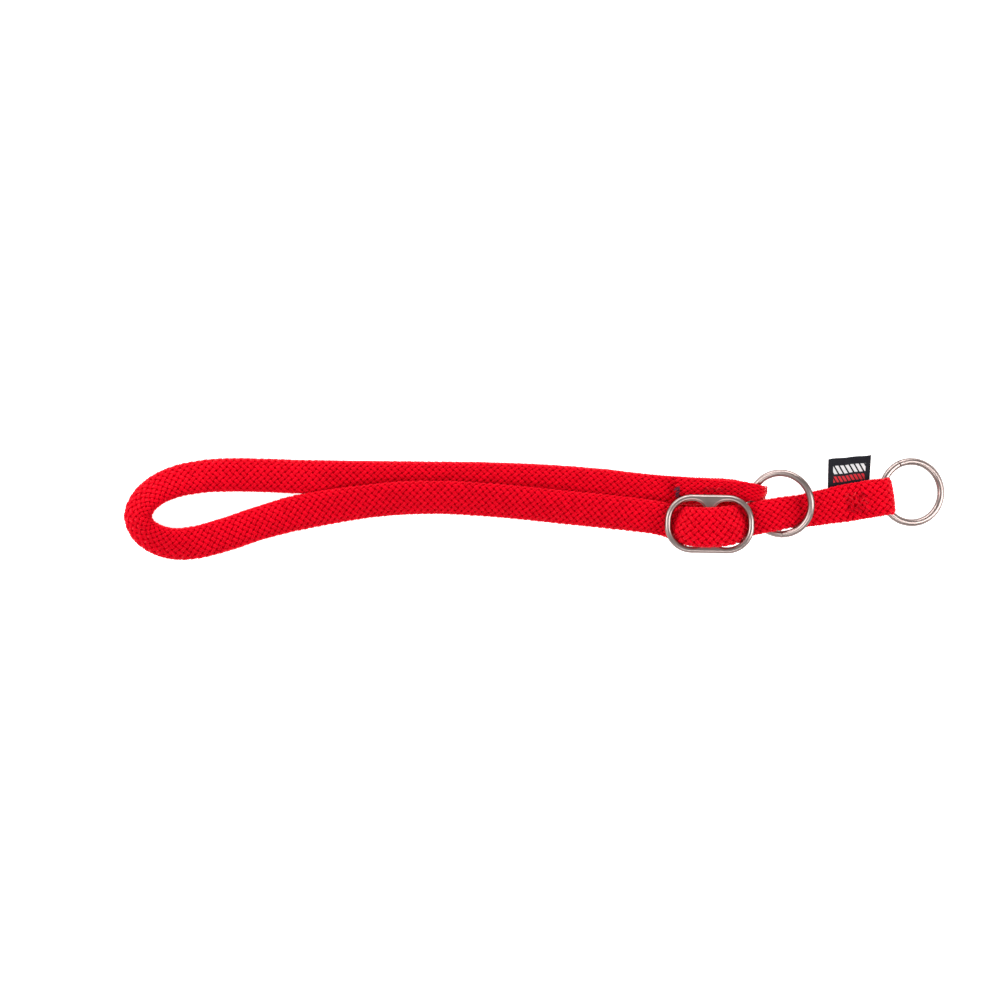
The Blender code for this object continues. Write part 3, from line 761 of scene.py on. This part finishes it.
def solid(name, verts, faces, finish):
    """A smooth shaded mesh from points in millimetres of its own frame."""
    mesh = bpy.data.meshes.new(name)
    mesh.from_pydata([tuple(c * MM for c in v) for v in verts], [], faces)
    mesh.materials.append(finish)
    bm = bmesh.new()
    bm.from_mesh(mesh)
    bmesh.ops.recalc_face_normals(bm, faces=bm.faces)
    bm.to_mesh(mesh)
    bm.free()
    mesh.shade_smooth()
    mesh.set_sharp_from_angle(angle=math.radians(50))
    made = bpy.data.objects.new(name, mesh)
    bpy.context.scene.collection.objects.link(made)
    return made


def painted_side_shade(made, values):
    """Painted shade: the sides of the wire are coloured darker than its faces. Values run from 0 at
    the sides, most shaded, to 1 at the faces, unshaded.
    """
    layer = made.data.attributes.new("painted_side_shade", "FLOAT", "POINT")
    layer.data.foreach_set("value", 0.30 + 0.70 * np.abs(values) ** 0.9)


def tube(rings):
    """Points and faces of rings of points joined in turn, with a cap at each end."""
    count = len(rings[0])
    verts = [p for ring in rings for p in ring]
    faces = []
    for r in range(len(rings) - 1):
        a, b = r * count, (r + 1) * count
        faces += [(a + i, a + (i + 1) % count, b + (i + 1) % count, b + i) for i in range(count)]
    last = (len(rings) - 1) * count
    faces += [tuple(range(count)), tuple(range(last + count - 1, last - 1, -1))]
    return verts, faces


def wire_ring(name, seam_at):
    """Round wire bent to a ring, its two sheared ends pinched a little where they meet."""
    gap = SEAM_GAP / RING_RADIUS
    ends, plain_from = (0.0, 0.004, 0.012, 0.03), 0.06
    turns = [*ends, *np.linspace(plain_from, 2 * math.pi - gap - plain_from, 150)]
    turns += [2 * math.pi - gap - t for t in reversed(ends)]
    rings = []
    for t in turns:
        from_end = min(t, 2 * math.pi - gap - t)
        wire = RING_WIRE * (1 - 0.10 * math.exp(-from_end / 0.006))
        out = 0.10 * math.exp(-from_end / 0.05)
        a = math.radians(seam_at) + gap / 2 + t
        ring = []
        for i in range(WIRE_SIDES):
            b = 2 * math.pi * i / WIRE_SIDES
            reach = RING_RADIUS + out + wire * math.cos(b)
            ring.append((reach * math.cos(a), reach * math.sin(a), wire * math.sin(b)))
        rings.append(ring)
    made = solid(name, *tube(rings), nickel)
    # painted shade on the wire's sides, none on its top and bottom
    painted_side_shade(made, np.tile(np.sin(2 * math.pi * np.arange(WIRE_SIDES) / WIRE_SIDES), len(rings)))
    return made


def leash_ring():
    made = wire_ring("ring_leash", LEASH_RING_SEAM_AT)
    made.data.transform(Matrix.Translation(
        ((RING_RADIUS - LEASH_AXIS_INSET + RING_OUT_OF_FOLD) * MM, LEASH_RING_SHIFT * MM, 0)))
    made.matrix_world = (
        Matrix.Translation(place(*LEASH_AXIS))
        @ Matrix.Rotation(math.radians(LEASH_HEADING), 4, "Z")
        @ Matrix.Rotation(math.radians(LEASH_RING_DROOP), 4, "Y")
    )
    return shown_as(made, "steel", "leash_ring", "leash_ring")


def slip_ring():
    """The ring leans on the strap, turned so that its wire runs through the slip end's fold."""
    out = Vector((math.cos(math.radians(SLIP_RING_RISE)), 0, math.sin(math.radians(SLIP_RING_RISE))))
    lean = math.radians(SLIP_RING_LEAN)
    up = Vector((0, math.cos(lean), math.sin(lean)))
    up = (up - up.dot(out) * out).normalized()
    across = (SLIP_AXIS[1] - SLIP_RING_CENTRE[1]) / (RING_RADIUS * up.y)
    round_to_fold = math.pi - math.asin(across)
    arm = RING_RADIUS * (math.cos(round_to_fold) * out + math.sin(round_to_fold) * up)
    centre = place(*SLIP_RING_CENTRE, SLIP_AXIS[2] - arm.z)
    made = wire_ring("ring_slip", SLIP_RING_SEAM_AT)
    turned = Matrix((out, up, out.cross(up))).transposed().to_4x4()
    made.matrix_world = Matrix.Translation(centre) @ turned
    return shown_as(made, "steel", "slip_ring", "slip_ring")


def rounded_outline(left, right, half, corner_left, corner_right, per_corner=26):
    """A rectangle along X with rounded corners, anticlockwise."""
    corners = (
        (right, half, corner_right, 0),
        (left, half, corner_left, 90),
        (left, -half, corner_left, 180),
        (right, -half, corner_right, 270),
    )
    points = []
    for x, y, radius, start in corners:
        cx, cy = x - math.copysign(radius, x - (left + right) / 2), y - math.copysign(radius, y)
        for k in range(per_corner):
            a = math.radians(start + 90 * k / (per_corner - 1))
            points.append((cx + radius * math.cos(a), cy + radius * math.sin(a)))
    return points


def slide_stop():
    """A rim of nearly round section and a bar that flares into it."""
    half_l, half_w, half_t = STOP_LENGTH / 2, STOP_WIDTH / 2, STOP_THICK / 2
    inner_l, inner_w, bar = half_l - STOP_RIM, half_w - STOP_RIM, STOP_BAR / 2
    bm = bmesh.new()
    layers = []
    for a in np.linspace(-RIM_EDGE_TURN, RIM_EDGE_TURN, 15):
        d, z = RIM_EDGE_DEPTH * (1 - math.cos(a)), half_t * math.sin(a) / math.sin(RIM_EDGE_TURN)
        outlines = (
            rounded_outline(d - half_l, half_l - d, half_w - d, STOP_CORNER - d, STOP_CORNER - d),
            rounded_outline(bar - d, inner_l + d, inner_w + d,
                            STOP_INNER_CORNER + d, STOP_CORNER - STOP_RIM + d),
            rounded_outline(-inner_l - d, d - bar, inner_w + d,
                            STOP_CORNER - STOP_RIM + d, STOP_INNER_CORNER + d),
        )
        layers.append([[bm.verts.new((x * MM, y * MM, z * MM)) for x, y in o] for o in outlines])
    for low_layer, high_layer in zip(layers, layers[1:]):
        for a, b in zip(low_layer, high_layer):
            for i in range(len(a)):
                j = (i + 1) % len(a)
                bm.faces.new((a[i], a[j], b[j], b[i]))
    for layer in (layers[0], layers[-1]):
        edges = [bm.edges.get((o[i], o[(i + 1) % len(o)])) for o in layer for i in range(len(o))]
        bmesh.ops.triangle_fill(bm, edges=edges, use_beauty=True)
    bmesh.ops.recalc_face_normals(bm, faces=bm.faces)
    mesh = bpy.data.meshes.new("slide_stop")
    bm.to_mesh(mesh)
    bm.free()
    mesh.materials.append(nickel)
    mesh.shade_smooth()
    made = bpy.data.objects.new("slide_stop", mesh)
    # painted shade on the rim's side walls, none on its top and bottom faces
    painted_side_shade(made, np.array([v.co.z for v in mesh.vertices]) / (half_t * MM))
    bpy.context.scene.collection.objects.link(made)
    made.location = place(*STOP_CENTRE)
    made.rotation_euler = (0, math.radians(-STOP_RISE), math.radians(STOP_TURN))
    return shown_as(made, "steel", "stop", "stop_slider")


leash_ring()
slip_ring()
slide_stop()

# ---------------------------------------------------------------- label


def label_material():
    """Black satin weave with a pale band and a red band. The weave attribute is (u, v) in mm."""
    made, nodes, links, shader = shader_of("label_satin", (0.009, 0.009, 0.013), 0.7)
    told = nodes.new("ShaderNodeAttribute")
    told.attribute_name = "weave"
    parts = nodes.new("ShaderNodeSeparateXYZ")
    links.new(told.outputs["Vector"], parts.inputs["Vector"])
    u, v, _ = parts.outputs
    weft = maths(nodes, links, "SINE", maths(nodes, links, "MULTIPLY", v, 2 * math.pi / 0.22))
    warp = maths(nodes, links, "SINE", maths(nodes, links, "MULTIPLY", u, 2 * math.pi / 0.30))
    weave = maths(nodes, links, "MULTIPLY", weft, warp)

    def band(v_middle, v_half, u_half, pitch):
        """1 inside a band of slanted dashes, 0 outside it."""
        off = maths(nodes, links, "ABSOLUTE", maths(nodes, links, "SUBTRACT", v, v_middle))
        inside = maths(nodes, links, "LESS_THAN", off, v_half)
        short = maths(nodes, links, "LESS_THAN", maths(nodes, links, "ABSOLUTE", u), u_half)
        slanted = maths(nodes, links, "ADD", u, maths(nodes, links, "MULTIPLY", v, 0.6))
        phase = maths(nodes, links, "FRACT", maths(nodes, links, "MULTIPLY", slanted, 1 / pitch))
        dash = maths(nodes, links, "GREATER_THAN", phase, 0.34)
        both = maths(nodes, links, "MULTIPLY", inside, short)
        return maths(nodes, links, "MULTIPLY", both, dash)

    lit = maths(nodes, links, "ADD", maths(nodes, links, "MULTIPLY", weave, 0.5), 0.5)
    base = ramp(nodes, links, lit, ((0.0, (0.003, 0.003, 0.006)), (1.0, (0.009, 0.009, 0.015))))
    pale = band(v_middle=6.7, v_half=1.8, u_half=7.4, pitch=2.3)
    red = band(v_middle=2.6, v_half=1.3, u_half=7.2, pitch=1.8)
    colour = base
    for mask, tint in ((pale, (0.62, 0.61, 0.62)), (red, (0.55, 0.02, 0.03))):
        mix = nodes.new("ShaderNodeMix")
        mix.data_type = "RGBA"
        links.new(mask, mix.inputs["Factor"])
        links.new(colour, mix.inputs["A"])
        mix.inputs["B"].default_value = (*tint, 1)
        colour = mix.outputs["Result"]
    links.new(colour, shader.inputs["Base Color"])
    raised = maths(nodes, links, "ADD", pale, red)
    height = maths(nodes, links, "ADD", maths(nodes, links, "MULTIPLY", weave, 0.5), raised)
    bump(nodes, links, shader, height, 0.00008, 0.7)
    shader.inputs["Specular IOR Level"].default_value = 0.2
    return made


def label():
    """A strip folded in half at its outer end, a little curled, its ends between the layers."""
    edge = LABEL_STRAP_EDGE
    inner, outer = edge - LABEL_ROOT, edge + LABEL_OUT
    leaf, gap, bend = 0.26, 0.16, 0.42
    steps = np.linspace(inner, outer - bend, 30)
    middle = [(y, gap + leaf / 2) for y in steps]
    middle += [(outer - bend + (gap + leaf / 2) * 1.5 * math.cos(a), (gap + leaf / 2) * math.sin(a))
               for a in np.radians(np.linspace(75, -75, 9))]
    middle += [(y, -gap - leaf / 2) for y in steps[::-1]]
    middle = np.array(middle)
    ahead = np.gradient(middle, axis=0)
    ahead /= np.linalg.norm(ahead, axis=1)[:, None]
    side = np.stack([-ahead[:, 1], ahead[:, 0]], 1)
    profile = np.vstack([middle + side * leaf / 2, (middle - side * leaf / 2)[::-1]])
    across = np.linspace(-LABEL_WIDTH / 2, LABEL_WIDTH / 2, 49)
    rings, weave = [], []
    for u in across:
        ring = []
        for y, z in profile:
            out = max(0.0, (y - edge) / LABEL_OUT)
            curl = 0.5 * out * math.sin(u / 6.0) + 0.7 * out * out
            ring.append((u * (1 + 0.012 * out) - 0.9 + 2.1 * out,
                         y + 0.10 * math.sin(u * 0.7) + (0.3 - 0.045 * u) * out, z + curl))
            weave.append((u, y - edge, 0.0))
        rings.append(ring)
    verts, faces = tube(rings)
    made = solid("label_woven", verts, faces, label_material())
    layer = made.data.attributes.new("weave", "FLOAT_VECTOR", "POINT")
    layer.data.foreach_set("vector", np.array(weave).ravel())
    at = Vector(LEASH_AXIS) - LABEL_FROM_AXIS * direction(LEASH_HEADING)
    between = LEASH_LOW + (LEASH_LAYER + LABEL_ROOM) / 2
    made.location = place(at.x, at.y, between)
    made.rotation_euler = (0, 0, math.radians(LEASH_HEADING))
    return shown_as(made, "label", LOOP, "woven_label")


label()

# ---------------------------------------------------------------- sewing


def cord_through(points, radius, twist=0.16):
    """A twisted thread through points: two plies wound together show as a waved surface."""
    points = np.asarray(points, float)
    run = np.concatenate([[0], np.cumsum(np.linalg.norm(np.diff(points, axis=0), axis=1))])
    s = np.linspace(0, run[-1], max(8, int(run[-1] / THREAD_STEP)))
    line = np.stack([np.interp(s, run, points[:, k]) for k in range(3)], 1)
    for _ in range(2):
        line[1:-1] = (line[:-2] + 2 * line[1:-1] + line[2:]) / 4
    ahead = np.gradient(line, axis=0)
    ahead /= np.linalg.norm(ahead, axis=1)[:, None] + 1e-9
    side = np.cross(ahead, [0.13, 0.21, 0.97])
    side /= np.linalg.norm(side, axis=1)[:, None] + 1e-9
    up = np.cross(side, ahead)
    rings = []
    for k, middle in enumerate(line):
        ring = []
        for i in range(THREAD_SIDES):
            b = 2 * math.pi * i / THREAD_SIDES
            reach = radius * (1 + twist * math.cos(2 * b - s[k] * 5.0))
            ring.append(tuple(middle + reach * (math.cos(b) * side[k] + math.sin(b) * up[k])))
        rings.append(ring)
    return tube(rings)


def threads(name, runs, radius, finish):
    """Several runs of thread as one piece, with yarn values along each."""
    verts, faces, values = [], [], []
    for n, points in enumerate(runs):
        base = len(verts)
        thread, thread_faces = cord_through(points, radius)
        verts += thread
        faces += [tuple(base + i for i in face) for face in thread_faces]
        for i in range(len(thread)):
            section, side = divmod(i, THREAD_SIDES)
            values.append((section * THREAD_STEP * MM + 0.01 * n, side * 0.0002, n * 0.37 % 1.0))
    made = solid(name, verts, faces, finish)
    layer = made.data.attributes.new("yarn", "FLOAT_VECTOR", "POINT")
    layer.data.foreach_set("vector", np.array(values).ravel())
    made.location = SHIFT
    return made


def stitch(a, b, top, dip=0.9, crown=0.28):
    """One stitch on top of the strap from needle hole a to needle hole b."""
    a, b = Vector(a), Vector(b)
    points = []
    for t in (0.0, 0.06, 0.2, 0.5, 0.8, 0.94, 1.0):
        at = a.lerp(b, t)
        lift = crown if 0.1 < t < 0.9 else (0.0 if 0.01 < t < 0.99 else -dip)
        points.append((at.x, at.y, top + lift))
    return points


def leash_sewing():
    """The patch: rows of short zigzag stitches across the doubled end, above and below.

    The upper layer rises to the fold from slope_from on.
    """
    first_back, row_step = 15.8, 1.7
    first_across, stitch_step, zigzag = -5.2, 1.5, 0.75
    slope_from, slope = 10.5, 0.16
    runs = []
    for face, up in ((LEASH_HIGH + LEASH_LAYER / 2, 1), (LEASH_LOW - LEASH_LAYER / 2, -1)):
        for row in range(6):
            back = first_back - row_step * row
            rise = 0.0 if back > slope_from or up < 0 else slope * (slope_from - back)
            previous = None
            for k in range(8):
                along = back + (zigzag if k % 2 else -zigzag)
                at = Vector(LEASH_AXIS) - along * direction(LEASH_HEADING)
                at += (first_across + stitch_step * k) * direction(LEASH_HEADING + 90)
                here = (at.x, at.y)
                if previous and (row + k) % 2 == 0 and k < 7:
                    if up > 0:
                        runs.append(stitch((*previous, 0), (*here, 0), face + rise - 0.02))
                    else:
                        runs.append([(p[0], p[1], face - (p[2] - face)) for p in
                                     stitch((*previous, 0), (*here, 0), face, dip=0.6, crown=0.1)])
                previous = here
    made = threads("thread_leash_end", runs, 0.24, thread_red)
    return shown_as(made, "thread", LOOP, "leash_end_stitching")


def slip_sewing():
    """One zigzag seam along the slip end's two layers, above and below."""
    first, step, sides = 78.0, 1.4, (8.3, 9.9)
    top = SLIP_HIGH + SLIP_LAYER / 2
    runs = []
    for k in range(7):
        a = (first + step * k, sides[k % 2], 0)
        b = (first + step * (k + 1), sides[(k + 1) % 2], 0)
        upper = stitch(a, b, top)
        runs += [upper, [(x, y, SLIP_LOW + SLIP_HIGH - z) for x, y, z in upper]]
    made = threads("thread_slip_end", runs, 0.22, thread_red)
    return shown_as(made, "thread", "slip_end", "slip_end_stitching")


def tack():
    """Dark thread wound close together over the strap's cut end."""
    draw = np.random.default_rng(7)
    top = SLIP_HIGH + SLIP_LAYER / 2
    runs = []
    cut_end = 66.3
    for k in range(11):
        y = 5.6 + 0.44 * k + 0.10 * draw.normal()
        x = cut_end + 0.22 * draw.normal()
        wide = 0.55 + 0.5 * draw.uniform()
        sunk = 0.30 * draw.uniform()
        runs.append(stitch((x - wide, y - 0.25, 0), (x + wide, y + 0.3, 0), top - sunk, 0.8, 0.22))
    for k in range(3):
        y = 5.4 + 1.5 * k
        x = cut_end - 1.3 + 0.25 * draw.normal()
        runs.append(stitch((x, y, 0), (x + 0.5, y + 1.1, 0), top - 0.25, 0.8, 0.2))
    made = threads("thread_tack", runs, 0.2, thread_dark)
    return shown_as(made, "dark_thread", "slip_end", "slip_end_bartack")


def fold_loops():
    """Small yarn loops standing out of the sharp fold over the slip ring's wire."""
    draw = np.random.default_rng(11)
    along = np.array(direction(SLIP_HEADING))
    side = np.array(direction(SLIP_HEADING + 90))
    runs = []
    for k in range(9):
        across = -SLIP_WIDTH / 2 + 0.4 + k * (SLIP_WIDTH - 0.8) / 8
        reach = SLIP_EYE + 1.5 + 0.12 * draw.normal()
        z = SLIP_AXIS[2] + 1.2 * draw.uniform(-1, 1)
        out, wide = 0.55 + 0.3 * draw.uniform(), 0.5
        points = []
        for a in np.radians(np.linspace(-20, 200, 9)):
            at = np.array(SLIP_AXIS) + (reach - 0.3 + out * math.sin(a)) * along
            at = at + (across + wide * math.cos(a)) * side
            points.append((at[0], at[1], z + 0.4 * math.cos(a)))
        runs.append(points)
    made = threads("strap_fold_loops", runs, 0.30, braid_red)
    return shown_as(made, "braid", "slip_end")


fold_loops()
leash_sewing()
slip_sewing()
tack()
